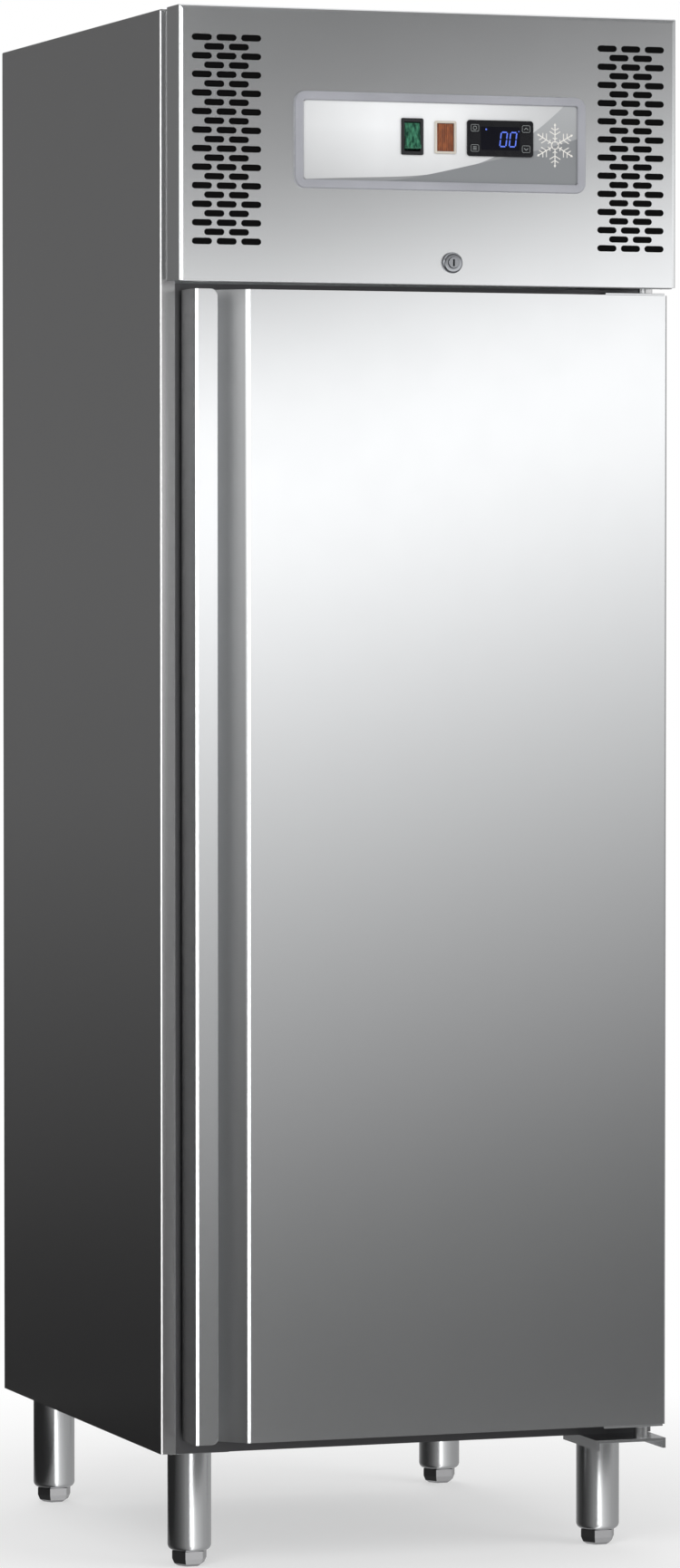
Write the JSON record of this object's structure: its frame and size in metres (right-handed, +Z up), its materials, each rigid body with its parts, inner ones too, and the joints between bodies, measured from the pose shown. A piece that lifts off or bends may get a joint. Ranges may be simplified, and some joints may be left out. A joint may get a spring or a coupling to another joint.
{
  "type": "upright freezer",
  "caption": "Tall stainless freezer cabinet on four screw feet, with one hinged door with a full-height grip lip, a vented control fascia and an open-topped cooling unit.",
  "frame": {"origin": "on the floor under the middle of the whole outline, lock and door included", "axes": "+Z up, -Y out of the front of the door, +X to the right of someone facing the door"},
  "size_m": [0.68, 0.8081, 2.01],
  "materials": {
    "stainless": "satin",
    "side_steel": "satin",
    "inner_stainless": "satin",
    "zinc_sheet": "satin",
    "foam": "matte",
    "white_pan": "satin",
    "gasket_grey": "matte",
    "black_rubber": "matte",
    "black_plastic": "matte",
    "grey_plastic": "satin",
    "bezel_lilac": "satin",
    "print_plate": "satin",
    "cream_plastic": "satin",
    "green_rocker": "gloss",
    "orange_lens": "gloss",
    "dark_window": "gloss",
    "lock_chrome": "polished",
    "aluminium_fins": "satin",
    "copper_pipe": "satin",
    "compressor_black": "satin",
    "nylon": "satin"
  },
  "bodies": {
    "cabinet": {"side_panel_left": "side_steel", "side_panel_right": "side_steel", "back_panel": "zinc_sheet", "roof_and_base_panels": "zinc_sheet", "wall_insulation": "foam", "inner_liner": "inner_stainless", "front_frame": "stainless", "rack_posts": "inner_stainless", "shelf_runners": "inner_stainless", "leg_tubes": "stainless", "ceiling_panel": "inner_stainless", "machine_tray": "zinc_sheet", "evaporator_housing": "white_pan", "evaporator_coil": "aluminium_fins", "evaporator_fan_motor": "compressor_black", "drain_pipe": "grey_plastic", "drip_tray": "black_plastic", "compressor": "compressor_black", "compressor_grommets": "black_rubber", "condenser_coil": "aluminium_fins", "condenser_shroud": "zinc_sheet", "condenser_fan_motor": "compressor_black", "refrigerant_pipes": "copper_pipe", "power_box": "grey_plastic", "rear_grille": "zinc_sheet", "cable_gland": "black_plastic", "fascia_wings": "stainless", "top_hinge": "stainless", "bottom_hinge": "stainless", "wire_shelf_1": "inner_stainless", "wire_shelf_2": "inner_stainless", "wire_shelf_3": "inner_stainless"},
    "door": {"door_panel": "stainless", "door_insulation": "foam", "door_liner": "inner_stainless", "door_caps": "black_plastic", "door_gasket": "gasket_grey", "door_hinge_bushes": "nylon", "door_hinge_plates": "stainless"},
    "fascia": {"fascia_panel": "stainless", "control_bezel": "bezel_lilac", "control_plate": "print_plate", "switch_housing": "black_plastic", "pilot_frame": "cream_plastic", "pilot_lens": "orange_lens", "controller_case": "black_plastic", "display_window": "dark_window", "lock_housing": "lock_chrome"},
    "lock": {"lock_plug_and_cam": "lock_chrome"},
    "rocker": {"power_rocker": "green_rocker"},
    "set_key": {"key_set": "black_plastic"},
    "menu_key": {"key_menu": "black_plastic"},
    "up_key": {"key_up": "black_plastic"},
    "down_key": {"key_down": "black_plastic"},
    "cold_fan": {"evaporator_fan": "black_plastic"},
    "hot_fan": {"condenser_fan": "black_plastic"},
    "foot_body_front_left": {"foot_front_left": "black_plastic"},
    "foot_body_front_right": {"foot_front_right": "black_plastic"},
    "foot_body_back_left": {"foot_back_left": "black_plastic"},
    "foot_body_back_right": {"foot_back_right": "black_plastic"}
  },
  "joints": [
    {"name": "door_swing", "type": "hinge", "parent": "cabinet", "child": "door", "pos_m": [0.305, -0.3655, 0.9], "axis": [0, 0, 1], "range_deg": [0, 100], "stiffness_Nm_per_rad": 4, "springref_deg": -20.05},
    {"name": "fascia_lift", "type": "hinge", "parent": "cabinet", "child": "fascia", "pos_m": [0, -0.354, 2], "axis": [-1, 0, 0], "range_deg": [0, 80]},
    {"name": "lock_turn", "type": "hinge", "parent": "fascia", "child": "lock", "pos_m": [0.029, -0.396, 1.688], "axis": [0, -1, 0], "range_deg": [0, 90]},
    {"name": "power_rocker_tilt", "type": "hinge", "parent": "fascia", "child": "rocker", "pos_m": [-0.0265, -0.394, 1.849], "axis": [1, 0, 0], "range_deg": [0, 20]},
    {"name": "set_key_press", "type": "slide", "parent": "fascia", "child": "set_key", "axis": [0, 1, 0], "range_m": [0, 0.0008], "stiffness_N_per_m": 400},
    {"name": "menu_key_press", "type": "slide", "parent": "fascia", "child": "menu_key", "axis": [0, 1, 0], "range_m": [0, 0.0008], "stiffness_N_per_m": 400},
    {"name": "up_key_press", "type": "slide", "parent": "fascia", "child": "up_key", "axis": [0, 1, 0], "range_m": [0, 0.0008], "stiffness_N_per_m": 400},
    {"name": "down_key_press", "type": "slide", "parent": "fascia", "child": "down_key", "axis": [0, 1, 0], "range_m": [0, 0.0008], "stiffness_N_per_m": 400},
    {"name": "cold_fan_spin", "type": "hinge", "parent": "cabinet", "child": "cold_fan", "pos_m": [0, 0.15, 1.638], "axis": [0, 0, -1], "continuous": true},
    {"name": "hot_fan_spin", "type": "hinge", "parent": "cabinet", "child": "hot_fan", "pos_m": [0.18, -0.1627, 1.808], "axis": [0, 1, 0], "continuous": true},
    {"name": "foot_screw_front_left", "type": "slide", "parent": "cabinet", "child": "foot_body_front_left", "axis": [0, 0, -1], "range_m": [0, 0.03]},
    {"name": "foot_screw_front_right", "type": "slide", "parent": "cabinet", "child": "foot_body_front_right", "axis": [0, 0, -1], "range_m": [0, 0.03]},
    {"name": "foot_screw_back_left", "type": "slide", "parent": "cabinet", "child": "foot_body_back_left", "axis": [0, 0, -1], "range_m": [0, 0.03]},
    {"name": "foot_screw_back_right", "type": "slide", "parent": "cabinet", "child": "foot_body_back_right", "axis": [0, 0, -1], "range_m": [0, 0.03]}
  ]
}
